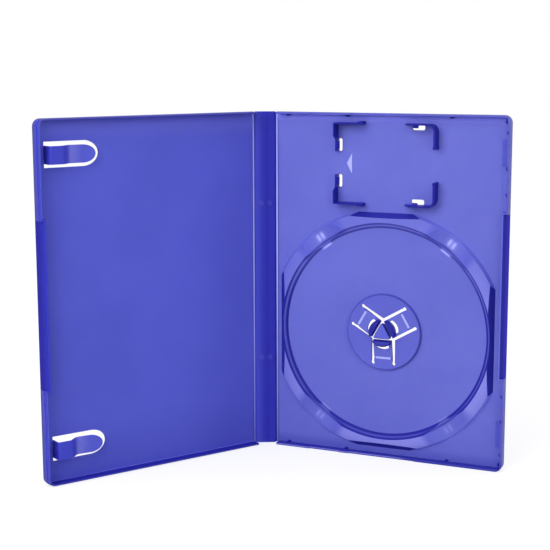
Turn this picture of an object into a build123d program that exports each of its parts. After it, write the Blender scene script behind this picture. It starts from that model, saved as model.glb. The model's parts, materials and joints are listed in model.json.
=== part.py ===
from build123d import *
import os
from math import cos, radians, sin, tan

# Leaves and spine, in millimetres
case_height = 190.0
leaf_width = 133.3  # from a hinge line to the opening edge
hinge_spacing = 13.4  # between the two hinge lines, across the spine
panel = 1.3  # thickness of the flat panels
wall = 1.2  # thickness of the rims and other upright walls
tray_rim = 6.2  # rim height over the tray's outer face
rim_gap = 0.3  # between the two rims when the case is shut
rim_start = 1.6  # from a hinge line to the ends of the rim
rim_round = 0.35
corner_radius = 4.0
outer_round = 0.9
notch_length = 87.5  # thumb notch in the middle of both opening edges
tray_notch = 2.4  # how far the notch's sloped face leans in at the top of the rim
cover_notch = 1.8
lip_height = 2.6  # step along the outside of the cover's rim
lip_depth = 0.3

# Living hinges
web = 0.5  # thickness of the bending web
hinge_clearance = 0.05
groove = 1.5  # from a hinge line to the full thickness of the panel
spine_corner = 2.0
tray_fold = 27.6  # at each hinge 0 degrees is flat open and 90 is shut
cover_fold = 31.4

# Disc nest: a raised ring with four steep flats, gentle shoulders between them and four finger dips
nest_floor_radius = 57.5  # foot of the ring's inner face
nest_base_radius = 67.7  # foot of the round outer face, between the flats
nest_half_width = 61.7  # flats that keep the ring clear of the rim
nest_half_height = 65.9
nest_side_gap = 3.1  # from the hinge line to the nearest flat
nest_foot_gap = 4.5  # from the bottom edge to the nearest flat
nest_height = 2.75
nest_slope = 48.0  # of the flats and the inner face, in degrees from upright
nest_draft = 27.0  # of the round outer face
nest_shoulder = 84.0  # of the shoulders, from the crest outwards
nest_wall = 1.1  # the ring is hollow from behind
nest_crest = 1.4  # thickness at the ring's crest
crest_width = 0.5  # flat top of the crest
dip_angle = 53.5  # from the horizontal line through the hub
dip_floor = 0.6
dip_bottom = 4.4
dip_top = 27.0
dip_round = 3.0

# Disc hub
hub_radius = 21.1
hub_rise = 1.6
arm_start = 30.0  # direction of the first arm, in degrees
arm_root = 14.4  # bending line of an arm, from the hub's centre
arm_width = 10.6
arm_groove = 1.3  # width of the thinned stretch on the bending line
arm_slope = 11.0  # rise of an arm towards the hub's centre, in degrees
slot_width = 1.45
slot_end = 17.3
slot_bulb = 1.0
lug_radius = 7.4
lug_lip = 0.25
lip_start = 0.62  # places on the lip, as shares of the lug's height
lip_middle = 0.8
lug_height = 3.6
lug_width = 10.2
lug_chord = 3.9  # flat side of a lug, from the hub's centre
lug_lean = 0.7
moon_reach = 9.35  # outer edge of the crescent hole behind a lug
moon_radius = 6.4
moon_width = 7.2
button_gap = 0.9
button_height = 3.3
button_round = 0.6
flange_gap = 0.35  # the button's thin flange reaches nearly to the lugs
flange_rise = 0.8
flange_thickness = 0.4
flange_round = 1.8

# Memory card holder
card_length = 55.0
card_width = 42.0
card_clearance = 0.3
card_left = 37.2  # from the hinge line to the pocket
card_top_gap = 6.0  # from the top edge to the pocket
card_wall = 0.8  # thickness of the holder's walls, except along its right side
card_tall = 6.5
card_low = 6.0
snap_height = 3.2
long_arm = 15.8  # of the holder's left corners, along the case's width
corner_run = 6.5  # tall stretch of the left corners, along the case's height
snap_step = 1.8
snap_end = 15.0
arm_end = 2.5
right_arm = 17.0
right_run = 11.8
right_corner = 3.0
right_ramp = 3.6
foot_radius = 0.95
hook_reach = 1.5
hook_height = 1.9
hook_nose = (0.4, 0.7)  # blunt tip of a hook, as shares of its height from the top
side_hook = 4.4
end_hook = 2.8
side_slot = (2.3, 7.0)
end_slot = (2.8, 7.2)
end_slot_gap = 6.4
slot_round = 1.0

# Ribs, reliefs and latch pads inside the tray's rim
rib_radius = 1.1
rib_drop = 2.6  # from the rim's top to a rib's end
rib_places = (8.0, 43.0, 101.5)  # from the hinge line, on the top and bottom rims
edge_ribs = (9.0, 27.6, 41.2)  # from the bottom and top edges, on the opening edge
post_inset = (1.9, 3.4)  # of the short posts in the two outer corners
post_radius = 1.1
post_height = 3.6
relief_depth = 0.8
relief_spans = ((22.0, 40.0), (45.5, 84.0))
latch_width = 3.0
latch_length = 14.0
latch_middle = 19.5
latch_rise = 0.7

# Booklet clips in the cover, with lengths from the bending line towards the spine
clip_middle = 18.4  # from the top and bottom edges
clip_root = leaf_width - 6.3  # bending line of a clip, from the hinge line
clip_width = 9.3
clip_thickness = 0.9
clip_root_radius = 0.6
clip_bend = 7.7
clip_toe = 12.2
clip_length = 26.9
clip_round = 6.9  # length of the rounded tip
clip_rise = 6.65
clip_dip = 2.55
clip_tip_rise = 3.9
window_length = 30.3
window_round = 8.8
window_width = 13.3
clip_bend_radii = (1.2, 3.0, 4.0)

cover_rim = hinge_spacing + web - tray_rim - rim_gap
hinge_seat = web / 2 + hinge_clearance


def leaf_plane(hinge_line, turn):
    """Plane on a leaf's outer face: x across the leaf, y up the case, z into the case."""
    across = Vector(cos(radians(turn)), sin(radians(turn)), 0)
    inward = Vector(sin(radians(turn)), -cos(radians(turn)), 0)
    return Plane(origin=hinge_line - inward * (web / 2), x_dir=across, z_dir=inward)


def section_plane(plane, height):
    """Plane across a leaf at a height: x as the leaf's, y into the case, facing down."""
    origin = plane.origin + Vector(0, 0, height)
    return Plane(origin=origin, x_dir=plane.x_dir, z_dir=(0, 0, -1))


def inner_plane(plane, across, height):
    """Plane on a leaf's inner face, with its origin at a place on that face."""
    origin = plane.from_local_coords(Vector(across, height, panel))
    return Plane(origin=origin, x_dir=plane.x_dir, z_dir=plane.z_dir)


def span(x_low, x_high, y_low, y_high, corner=0.0):
    """Rectangle between two pairs of limits, with rounded corners where a radius is given."""
    width = abs(x_high - x_low)
    height = abs(y_high - y_low)
    with BuildSketch() as patch:
        with Locations(((x_low + x_high) / 2, (y_low + y_high) / 2)):
            if corner:
                RectangleRounded(width, height, corner)
            else:
                Rectangle(width, height)
    return patch.sketch


def leaf_outline(side, start, inset):
    """Outline of a leaf, drawn inside its edges by inset; side is 1 for the tray and -1 for the cover."""
    near = side * start
    far = side * (leaf_width - inset)
    top = case_height - inset
    with BuildSketch() as outline:
        with BuildLine():
            Polyline((near, inset), (far, inset), (far, top), (near, top), close=True)
        make_face()
        corners = outline.vertices().sort_by(Axis((0, 0, 0), (side, 0, 0)))[-2:]
        fillet(corners, corner_radius - inset)
    return outline.sketch


def hinge_edge(side):
    """Section cut from a leaf along its hinge line: the groove, and room for the round edge of the web."""
    with BuildSketch() as section:
        with Locations((0, web / 2)):
            Circle(hinge_seat)
        with BuildLine():
            Polyline(
                (-side * hinge_seat, web / 2),
                (side * hinge_seat, web / 2),
                (side * hinge_seat, web),
                (side * groove, panel),
                (side * groove, 2 * panel),
                (-side * hinge_seat, 2 * panel),
                close=True,
            )
        make_face()
    return section.sketch


def notch_block(side, rim_height, lean):
    """Section of the rim at the thumb notch, thick enough for a face that leans in by lean at the top."""
    run = wall * (1 + (lean / (rim_height - panel)) ** 2) ** 0.5
    with BuildSketch() as section:
        with BuildLine():
            Polyline(
                (side * leaf_width, panel),
                (side * leaf_width, rim_height),
                (side * (leaf_width - lean - run), rim_height),
                (side * (leaf_width - run), panel),
                close=True,
            )
        make_face()
    return section.sketch


def notch_wedge(side, rim_height, lean):
    """Section cut from the rim outside the sloped face of the thumb notch."""
    with BuildSketch() as section:
        with BuildLine():
            Polyline(
                (side * leaf_width, panel),
                (side * (leaf_width - lean), rim_height),
                (side * leaf_width, rim_height),
                close=True,
            )
        make_face()
    return section.sketch


def leaf_shell(plane, side, rim_height, lean, lip):
    """Panel and rim of a leaf, with its thumb notch, the step outside its rim and its thinned hinge edge."""
    inward = Axis(plane.origin, plane.z_dir)
    across = Axis(plane.origin, plane.x_dir * side)
    notch_top = (case_height + notch_length) / 2
    with BuildPart() as shell:
        with BuildSketch(plane):
            add(leaf_outline(side, 0, 0))
        extrude(amount=panel)
        with BuildSketch(plane):
            add(leaf_outline(side, rim_start, 0))
            add(leaf_outline(side, 0, wall), mode=Mode.SUBTRACT)
        extrude(amount=rim_height)
        with BuildSketch(section_plane(plane, notch_top + wall)):
            add(notch_block(side, rim_height, lean))
        extrude(amount=notch_length + 2 * wall)
        with BuildSketch(section_plane(plane, notch_top)):
            add(notch_wedge(side, rim_height, lean))
        extrude(amount=notch_length, mode=Mode.SUBTRACT)
        if lip:
            with BuildSketch(plane.offset(rim_height - lip_height)):
                add(leaf_outline(side, 0, -wall))
                add(leaf_outline(side, 0, lip), mode=Mode.SUBTRACT)
            extrude(amount=lip_height, mode=Mode.SUBTRACT)
        fillet(shell.faces().sort_by(inward)[-1].edges(), rim_round)
        outer_edges = shell.faces().sort_by(inward)[0].edges().sort_by(across)
        fillet(outer_edges[1:], outer_round)
        with BuildSketch(section_plane(plane, case_height)):
            add(hinge_edge(side))
        extrude(amount=case_height, mode=Mode.SUBTRACT)
    return shell.part


def dip_profile(skin):
    """Section of a finger dip, lowered by skin for the hollow behind the ring."""
    floor = dip_floor - skin
    top = nest_height + panel
    flank = (dip_top - dip_bottom) / 2 / (nest_height - dip_floor)
    reach = dip_bottom / 2 + flank * (top - dip_floor)
    with BuildSketch() as profile:
        with BuildLine():
            Polyline(
                (-dip_bottom / 2, floor),
                (dip_bottom / 2, floor),
                (reach, top - skin),
                (-reach, top - skin),
                close=True,
            )
        make_face()
        fillet(profile.vertices().group_by(Axis.Y)[0], dip_round)
    return profile.sketch


def slope_shift(slope, skin, below):
    """How far the foot of a sloped face moves out, for a start below the panel's face and a skin over it."""
    return below * tan(radians(slope)) - skin / cos(radians(slope))


def nest_ring(plane, skin, below, height):
    """Nest ring from a depth below the panel's inner face, or the hollow in it when skin isn't 0."""
    grow = slope_shift(nest_slope, skin, below)
    foot = plane.offset(-below)
    crest = nest_floor_radius + nest_height * tan(radians(nest_slope)) + crest_width
    shoulder = crest + nest_height * tan(radians(nest_shoulder))
    with BuildPart() as ring:
        with BuildSketch(foot):
            Circle(nest_base_radius + slope_shift(nest_draft, skin, below))
        extrude(amount=height, taper=nest_draft)
        with BuildSketch(foot):
            Circle(shoulder + slope_shift(nest_shoulder, skin, below))
        extrude(amount=height, taper=nest_shoulder, mode=Mode.INTERSECT)
        with BuildSketch(foot):
            Rectangle(2 * (nest_half_width + grow), 2 * (nest_half_height + grow))
        extrude(amount=height, taper=nest_slope, mode=Mode.INTERSECT)
        with BuildSketch(foot):
            Circle(nest_floor_radius - grow)
        extrude(amount=height, taper=-nest_slope, mode=Mode.SUBTRACT)
        for angle in (dip_angle, 180 - dip_angle, 180 + dip_angle, -dip_angle):
            outward = plane.x_dir * cos(radians(angle)) + plane.y_dir * sin(radians(angle))
            dip_plane = Plane(origin=plane.origin, x_dir=plane.z_dir.cross(outward), z_dir=outward)
            with BuildSketch(dip_plane):
                add(dip_profile(skin))
            extrude(amount=2 * nest_base_radius, mode=Mode.SUBTRACT)
    return ring.part


def arm_plane(angle):
    """Plane at the hub's centre on the panel's inner face, with x along an arm."""
    outward = hub_plane.x_dir * cos(radians(angle)) + hub_plane.y_dir * sin(radians(angle))
    return Plane(origin=hub_plane.origin, x_dir=outward, z_dir=hub_plane.z_dir)


def arm_section_plane(plane):
    """Plane along an arm: x outward, y into the case."""
    return Plane(origin=plane.origin, x_dir=plane.x_dir, z_dir=-plane.y_dir)


def arm_cut_outs():
    """Plan of what is cut from the hub plate for the three arms and their slots."""
    slot_offset = (arm_width + slot_width) / 2
    with BuildSketch() as plan:
        with PolarLocations(0, 3, arm_start):
            Rectangle(arm_root, arm_width + 2 * slot_width, align=(Align.MIN, Align.CENTER))
            for offset in (-slot_offset, slot_offset):
                with Locations((0, offset)):
                    Rectangle(slot_end, slot_width, align=(Align.MIN, Align.CENTER))
                with Locations((slot_end, offset)):
                    Circle(slot_bulb)
    return plan.sketch


def lug_profile():
    """Half section of the round grip that the three lugs are cut from."""
    lip = lug_radius + lug_lip
    with BuildSketch() as profile:
        with BuildLine():
            Polyline(
                (0, lug_foot),
                (lug_radius, lug_foot),
                (lug_radius, hub_rise + lug_height * lip_start),
                (lip, hub_rise + lug_height * lip_middle),
                (lug_radius - 2 * lug_lip, hub_rise + lug_height),
                (0, hub_rise + lug_height),
                close=True,
            )
        make_face()
    return profile.sketch


def lug_block(plane):
    """Raised lug of one arm: the round grip, cut to the arm's width and to a leaning flat."""
    side = arm_section_plane(plane)
    top = hub_rise + lug_height
    with BuildPart() as lug:
        with BuildSketch(side):
            add(lug_profile())
        revolve(axis=Axis(plane.origin, plane.z_dir))
        with BuildSketch(side):
            with BuildLine():
                Polyline(
                    (lug_chord, lug_foot),
                    (2 * lug_radius, lug_foot),
                    (2 * lug_radius, top),
                    (lug_chord + lug_lean, top),
                    close=True,
                )
            make_face()
        extrude(amount=lug_width / 2, both=True, mode=Mode.INTERSECT)
    return lug.part


def arm_plan():
    """Plan of an arm's strap, with its inner corners cut clear of the next arms."""
    apex = slot_width / 2 / sin(radians(60))
    end = arm_root + web
    spread = (end - apex) * tan(radians(60))
    with BuildSketch() as plan:
        with BuildLine():
            Polyline((apex, 0), (end, spread), (end, -spread), close=True)
        make_face()
        add(span(lug_chord, end, -arm_width / 2, arm_width / 2), mode=Mode.INTERSECT)
    return plan.sketch


def arm_profile():
    """Section along an arm: the round edge and thin web at its root, then a strap that rises to the lug."""
    foot = arm_root - arm_groove / 2
    with BuildSketch() as profile:
        with Locations((arm_root, arm_low + web / 2)):
            Circle(web / 2)
        add(span(foot - web, arm_root, arm_low, arm_low + web))
        with BuildLine():
            Polyline(
                (foot, arm_low),
                (foot, hub_rise),
                (lug_chord, hub_rise + arm_lift),
                (lug_chord, arm_low + arm_lift),
                close=True,
            )
        make_face()
    return profile.sketch


def moon_plan():
    """Plan of the crescent hole behind a lug."""
    with BuildSketch() as plan:
        with Locations((moon_reach - moon_radius, 0)):
            Circle(moon_radius)
        add(span(0, 2 * moon_reach, -moon_width / 2, moon_width / 2), mode=Mode.INTERSECT)
        Circle(lug_radius, mode=Mode.SUBTRACT)
    return plan.sketch


def hub_arm(angle):
    """One arm of the hub: a rising strap with a thin root, a raised lug and a crescent hole."""
    plane = arm_plane(angle)
    with BuildPart() as arm:
        with BuildSketch(arm_section_plane(plane)):
            add(arm_profile())
        extrude(amount=arm_width, both=True)
        with BuildSketch(plane):
            add(arm_plan())
        extrude(amount=hub_rise + arm_lift, mode=Mode.INTERSECT)
        with BuildSketch(plane):
            add(moon_plan())
        extrude(amount=hub_rise + arm_lift, mode=Mode.SUBTRACT)
        add(lug_block(plane))
    return arm.part


def left_snap(flip):
    """Side view of a left corner of the card holder: a tall end that steps down to the snap tab."""
    high = flip * (card_half_width + card_wall)
    step = flip * (card_half_width - corner_run)
    with BuildSketch() as profile:
        with BuildLine():
            Polyline(
                (high, 0),
                (high, card_tall),
                (step, card_tall),
                (step - flip * snap_step, snap_height),
                (flip * (card_half_width - snap_end), snap_height),
                (flip * (card_half_width - snap_end), 0),
                close=True,
            )
        make_face()
    return profile.sketch


def hook_profile(flip, top):
    """Section of a small hook that stands out from a wall of the card holder, under its top."""
    with BuildSketch() as profile:
        with BuildLine():
            Polyline(
                (0, top),
                (flip * hook_reach, top - hook_height * hook_nose[0]),
                (flip * hook_reach, top - hook_height * hook_nose[1]),
                (0, top - hook_height),
                close=True,
            )
        make_face()
    return profile.sketch


def right_corners():
    """Plan of the two right corners of the card holder."""
    outer_length = 2 * (card_half_length + wall)
    outer_width = 2 * (card_half_width + card_wall)
    with BuildSketch() as plan:
        RectangleRounded(outer_length, outer_width, right_corner + wall)
        RectangleRounded(2 * card_half_length, 2 * card_half_width, right_corner, mode=Mode.SUBTRACT)
        low = card_half_length - right_arm
        high = card_half_length + wall
        near = card_half_width - right_run
        far = card_half_width + card_wall
        with BuildSketch(mode=Mode.INTERSECT):
            add(span(low, high, near, far))
            add(span(low, high, -far, -near))
        for flip in (-1, 1):
            with Locations((card_half_length + wall / 2, flip * near)):
                Circle(foot_radius)
    return plan.sketch


def clip_plan(length, tip, width):
    """Plan of a booklet clip's tongue or of its window, from the opening edge to a rounded tip."""
    curve = clip_root - length + tip
    with BuildSketch() as plan:
        add(span(-curve, -leaf_width, -width / 2, width / 2))
        with Locations((-curve, 0)):
            Ellipse(tip, width / 2)
    return plan.sketch


def clip_profile():
    """Section of a booklet clip: up from its round root, along and down to the panel again."""
    with BuildSketch() as profile:
        with BuildLine():
            FilletPolyline(
                (-clip_root, panel / 2),
                (-clip_root, clip_rise),
                (clip_bend - clip_root, clip_rise),
                (clip_toe - clip_root, clip_dip),
                (clip_length - clip_root, clip_tip_rise),
                radius=clip_bend_radii,
            )
        trace(line_width=clip_thickness)
        with Locations((-clip_root, panel / 2)):
            Circle(clip_root_radius)
    return profile.sketch


def booklet_clip(middle):
    """One sprung tongue of the cover."""
    with BuildPart() as clip:
        with BuildSketch(section_plane(cover_plane, middle)):
            add(clip_profile())
        extrude(amount=clip_width / 2, both=True)
        with BuildSketch(cover_plane):
            with Locations((0, middle)):
                add(clip_plan(clip_length, clip_round, clip_width))
        extrude(amount=2 * clip_rise, mode=Mode.INTERSECT)
    return clip.part


# The tray's foot face is centred on the origin, and the other two stretches follow at their folds
tray_line = Vector(-leaf_width / 2, tray_rim / 2 - web / 2, 0)
tray_plane = leaf_plane(tray_line, 0)
spine_plane = leaf_plane(tray_line, tray_fold)
cover_line = spine_plane.from_local_coords(Vector(-hinge_spacing, 0, web / 2))
cover_plane = leaf_plane(cover_line, tray_fold + cover_fold)
hub_plane = inner_plane(tray_plane, nest_side_gap + nest_half_width, nest_foot_gap + nest_half_height)
card_half_length = card_length / 2 + card_clearance
card_half_width = card_width / 2 + card_clearance
card_plane = inner_plane(
    tray_plane, card_left + card_half_length, case_height - card_top_gap - card_half_width
)
arm_low = hub_rise - panel
arm_lift = (arm_root - arm_groove / 2 - lug_chord) * tan(radians(arm_slope))
lug_foot = hub_rise + arm_lift - panel * 0.75
clip_middles = {"upper": case_height - clip_middle, "lower": clip_middle}
arm_angles = {"right": arm_start, "left": arm_start + 120, "lower": arm_start + 240}

os.makedirs("parts", exist_ok=True)

# Back tray
with BuildPart() as back_tray:
    add(leaf_shell(tray_plane, 1, tray_rim, tray_notch, 0))

    # disc nest, hollow from behind
    add(nest_ring(hub_plane, 0, 0, nest_height))
    add(nest_ring(hub_plane, nest_wall, panel, panel + nest_height - nest_crest), mode=Mode.SUBTRACT)

    # hub plate over a round recess in the back, with the room for the arms and the button
    with BuildSketch(hub_plane):
        Circle(hub_radius)
    extrude(amount=hub_rise)
    with BuildSketch(hub_plane.offset(-panel)):
        Circle(hub_radius - wall)
    extrude(amount=hub_rise, mode=Mode.SUBTRACT)
    with BuildSketch(hub_plane.offset(-panel)):
        add(arm_cut_outs())
    extrude(amount=panel + hub_rise, mode=Mode.SUBTRACT)
    for angle in arm_angles.values():
        with BuildSketch(arm_section_plane(arm_plane(angle))):
            with Locations((arm_root, arm_low + web / 2)):
                Circle(hinge_seat)
            add(span(arm_root, arm_root + arm_groove / 2, arm_low + web, 2 * hub_rise))
            add(span(arm_root, arm_root + hinge_seat, arm_low + web / 2, arm_low + web))
        extrude(amount=arm_width / 2, both=True, mode=Mode.SUBTRACT)

    # card holder: left corners with snap tabs, right corners with a ramp, and the slots under the hooks
    for flip in (-1, 1):
        left = -card_half_length
        near = flip * card_half_width
        far = flip * (card_half_width + card_wall)
        tip = left + long_arm
        with BuildSketch(card_plane):
            add(span(left - card_wall, tip, near, far))
            add(span(tip - arm_end, tip, near, far + flip * card_wall))
        extrude(amount=card_tall)
        snap_origin = card_plane.from_local_coords(Vector(left - card_wall, 0, 0))
        with BuildSketch(Plane(origin=snap_origin, x_dir=card_plane.y_dir, z_dir=card_plane.x_dir)):
            add(left_snap(flip))
        extrude(amount=card_wall)
        snap_middle = flip * (card_half_width - snap_end + side_slot[1] / 2)
        hook_origin = card_plane.from_local_coords(Vector(left, snap_middle, 0))
        with BuildSketch(Plane(origin=hook_origin, x_dir=card_plane.x_dir, z_dir=-card_plane.y_dir)):
            add(hook_profile(1, snap_height))
        extrude(amount=side_hook / 2, both=True)
    with BuildSketch(card_plane):
        add(right_corners())
    extrude(amount=card_low)
    with BuildSketch(section_plane(card_plane, card_half_width + wall)):
        with BuildLine():
            ramp_end = card_half_length - right_arm
            Polyline((ramp_end, wall), (ramp_end + right_ramp, card_low), (ramp_end, card_low), close=True)
        make_face()
    extrude(amount=2 * (card_half_width + wall), mode=Mode.SUBTRACT)
    for flip in (-1, 1):
        end_slot_middle = card_half_length - end_slot_gap - end_slot[1] / 2
        hook_origin = card_plane.from_local_coords(Vector(end_slot_middle, flip * card_half_width, 0))
        with BuildSketch(Plane(origin=hook_origin, x_dir=card_plane.y_dir, z_dir=card_plane.x_dir)):
            add(hook_profile(-flip, card_low))
        extrude(amount=end_hook / 2, both=True)
    with BuildSketch(card_plane):
        for flip in (-1, 1):
            slot_low = flip * (card_half_width - snap_end)
            slot_high = slot_low + flip * side_slot[1]
            add(span(-card_half_length, side_slot[0] - card_half_length, slot_low, slot_high, slot_round))
            slot_right = card_half_length - end_slot_gap
            slot_top = flip * card_half_width
            slot_foot = slot_top - flip * end_slot[0]
            add(span(slot_right - end_slot[1], slot_right, slot_foot, slot_top, slot_round))
    extrude(amount=-panel, mode=Mode.SUBTRACT)

    # ribs inside the rim, reliefs along its top and bottom, and the latch pads
    with BuildSketch(tray_plane):
        for place in rib_places:
            with Locations((place, wall), (place, case_height - wall)):
                Circle(rib_radius)
        for place in edge_ribs:
            with Locations((leaf_width - wall, place), (leaf_width - wall, case_height - place)):
                Circle(rib_radius)
        add(leaf_outline(1, 0, wall / 2), mode=Mode.INTERSECT)
    extrude(amount=tray_rim - rib_drop)
    with BuildSketch(tray_plane):
        for height in (post_inset[1], case_height - post_inset[1]):
            with Locations((leaf_width - post_inset[0], height)):
                Circle(post_radius)
    extrude(amount=post_height)
    with BuildSketch(tray_plane):
        with Locations((leaf_width - wall - latch_width / 2, latch_middle)):
            Rectangle(latch_width + wall, latch_length)
        with Locations((leaf_width - wall - latch_width / 2, case_height - latch_middle)):
            Rectangle(latch_width + wall, latch_length)
    extrude(amount=panel + latch_rise)
    with BuildSketch(tray_plane.offset(tray_rim - relief_depth)):
        for low, high in relief_spans:
            add(span(low, high, 0, 2 * wall))
            add(span(low, high, case_height - 2 * wall, case_height))
    extrude(amount=2 * relief_depth, mode=Mode.SUBTRACT)
back_tray.part.label = "back_tray"
export_step(back_tray.part, "parts/back_tray.step")

# Spine, with a thin web and a round edge along each hinge line
with BuildPart() as spine:
    with BuildSketch(section_plane(spine_plane, case_height)):
        with BuildLine():
            Polyline(
                (0, 0),
                (0, web),
                (-hinge_seat, web),
                (-groove, panel),
                (groove - hinge_spacing, panel),
                (hinge_seat - hinge_spacing, web),
                (-hinge_spacing, web),
                (-hinge_spacing, 0),
                close=True,
            )
        make_face()
        with Locations((0, web / 2), (-hinge_spacing, web / 2)):
            Circle(web / 2)
    extrude(amount=case_height)
    with BuildSketch(spine_plane):
        with Locations((-hinge_spacing / 2, case_height / 2)):
            RectangleRounded(hinge_spacing + web, case_height, spine_corner)
    extrude(amount=panel, mode=Mode.INTERSECT)
spine.part.label = "spine"
export_step(spine.part, "parts/spine.step")

# Front cover, with a window round each booklet clip
with BuildPart() as front_cover:
    add(leaf_shell(cover_plane, -1, cover_rim, cover_notch, lip_depth))
    window_end = clip_root + clip_root_radius + hinge_clearance
    with BuildSketch(cover_plane):
        with Locations(*((0, middle) for middle in clip_middles.values())):
            add(clip_plan(window_length, window_round, window_width))
        add(span(-window_end, 0, 0, case_height), mode=Mode.INTERSECT)
    extrude(amount=panel, mode=Mode.SUBTRACT)
front_cover.part.label = "front_cover"
export_step(front_cover.part, "parts/front_cover.step")

# Booklet clips
for name, middle in clip_middles.items():
    clip = booklet_clip(middle)
    clip.label = f"booklet_clip_{name}"
    export_step(clip, f"parts/{clip.label}.step")

# Hub arms
for name, angle in arm_angles.items():
    arm = hub_arm(angle)
    arm.label = f"hub_arm_{name}"
    export_step(arm, f"parts/{arm.label}.step")

# Hub button, between the flat sides of the three lugs, on a thin flange
with BuildPart() as hub_button:
    flange = (flange_gap, flange_round, flange_thickness)
    stem = (button_gap, button_round, button_height - flange_rise)
    for gap, corner, height in (flange, stem):
        with BuildSketch(hub_plane.offset(hub_rise + flange_rise)) as triangle:
            RegularPolygon(lug_chord - gap, 3, major_radius=False, rotation=arm_start + 60, align=None)
            fillet(triangle.vertices(), corner)
        extrude(amount=height)
    fillet(hub_button.faces().sort_by(Axis(hub_plane.origin, hub_plane.z_dir))[-1].edges(), button_round / 2)
hub_button.part.label = "hub_button"
export_step(hub_button.part, "parts/hub_button.step")
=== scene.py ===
import json
from math import cos, radians, sin

import bmesh
import bpy
from mathutils import Matrix, Vector


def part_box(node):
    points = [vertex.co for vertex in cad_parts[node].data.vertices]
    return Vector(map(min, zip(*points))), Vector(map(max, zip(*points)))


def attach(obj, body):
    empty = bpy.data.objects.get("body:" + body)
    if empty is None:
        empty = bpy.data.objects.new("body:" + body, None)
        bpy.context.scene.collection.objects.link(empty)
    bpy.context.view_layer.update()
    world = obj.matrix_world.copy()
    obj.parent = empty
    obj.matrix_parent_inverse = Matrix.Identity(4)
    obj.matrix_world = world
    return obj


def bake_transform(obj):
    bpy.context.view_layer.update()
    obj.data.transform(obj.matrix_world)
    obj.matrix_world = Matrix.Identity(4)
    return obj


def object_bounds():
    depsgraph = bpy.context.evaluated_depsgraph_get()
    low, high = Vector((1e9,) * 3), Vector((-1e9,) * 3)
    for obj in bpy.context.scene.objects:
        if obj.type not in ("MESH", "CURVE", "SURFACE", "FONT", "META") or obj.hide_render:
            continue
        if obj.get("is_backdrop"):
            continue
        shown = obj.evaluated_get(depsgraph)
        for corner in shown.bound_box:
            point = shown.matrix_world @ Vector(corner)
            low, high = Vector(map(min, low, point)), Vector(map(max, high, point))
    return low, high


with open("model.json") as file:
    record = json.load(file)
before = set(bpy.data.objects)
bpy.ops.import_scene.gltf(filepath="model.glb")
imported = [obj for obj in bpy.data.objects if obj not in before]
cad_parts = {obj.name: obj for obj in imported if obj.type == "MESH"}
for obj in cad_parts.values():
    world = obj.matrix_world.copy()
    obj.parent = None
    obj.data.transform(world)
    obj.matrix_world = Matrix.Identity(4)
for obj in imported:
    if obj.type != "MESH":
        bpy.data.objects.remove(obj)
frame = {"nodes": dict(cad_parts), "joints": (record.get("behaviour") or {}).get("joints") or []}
CAD_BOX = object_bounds()

bl_info = {
    "name": "Game disc case",
    "version": (1, 0, 0),
    "blender": (4, 5, 0),
    "location": "3D View > Sidebar > Disc Case",
    "description": "Finishes, thin webs and studio for a hinged game disc case",
    "category": "Object",
}

MM = 0.001
UP = Vector((0.0, 0.0, 1.0))
WHITE = (1.0, 1.0, 1.0, 1.0)

# Places of the joints and the size of the tray, from the frame
JOINTS = {joint["name"]: joint for joint in frame["joints"]}
TRAY_LINE = Vector(JOINTS["tray_spine_fold"]["pos_m"])
COVER_LINE = Vector(JOINTS["spine_cover_fold"]["pos_m"])
TRAY_FOLD = radians(-JOINTS["tray_spine_fold"]["range_deg"][0])
COVER_FOLD = radians(-JOINTS["spine_cover_fold"]["range_deg"][0])
HUB = Vector(JOINTS["button_press"]["pos_m"])
ARMS = {side: Vector(JOINTS[f"arm_{side}_tilt"]["pos_m"]) for side in ("right", "left", "lower")}
TRAY_LOW, TRAY_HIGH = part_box("back_tray")
CASE_HEIGHT = TRAY_HIGH.z - TRAY_LOW.z
HALF_HEIGHT = CASE_HEIGHT / 2
HALF_WEB = TRAY_HIGH.y - TRAY_LINE.y
LEAF_WIDTH = 2 * -TRAY_LINE.x

# Sizes of the moulding that the finishes follow
PANEL = 1.3 * MM
COVER_RIM = 7.4 * MM
COVER_STEP = 2.6 * MM
NOTCH_HALF = 43.75 * MM
NOTCH_END = 1.2 * MM
EDGE_RIBS = (9.0 * MM, 27.6 * MM, 41.2 * MM)
EDGE_RIB_INSET = 1.2 * MM
LATCH_RISE = 0.7 * MM
DIP_ANGLE = radians(53.5)
ARM_ANGLE = radians(30)

# Limits on a leaf, measured in from its edges
COVER_OUTSIDE = 0.5 * MM
RIM_MIDDLE = 0.75 * MM
RIM_INSIDE = 1.35 * MM
NOTCH_CUT = 2.3 * MM

# Limits on a leaf, measured across from its hinge line
SPINE_LINE = 5.6 * MM
NOTCH_BLOCK = 127.75 * MM

# Limits on a leaf, measured in depth from its outer face
RING_BASE = 1.6 * MM
HOLDER_BASE = 2.45 * MM
TRAY_FRONT = 3.5 * MM
FLANGE_TOP = 4.2 * MM
COVER_FRONT = COVER_RIM - 0.35 * MM

# Distances from the middle of the hub
FLANGE_SIDE = 1.8 * MM
LUG_REACH = 7.85 * MM
PLATE_EDGE = 21.0 * MM
# Where a dip's painted glint, its dark line of painted shade and its bright painted floor lie
DIP_GLINT = 57.1 * MM
DIP_LINE = 59.5 * MM
DIP_MIDDLE = 63.0 * MM
NEST_REACH = 68.15 * MM

# Soft borders between two colours, half on each side
HAIR = 0.1 * MM
CRISP = 0.15 * MM

# Cosines of the angle between a face and its leaf, where the face starts to be steep and where it is
STEEP_START = 0.96
STEEP_FULL = 0.62

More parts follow.
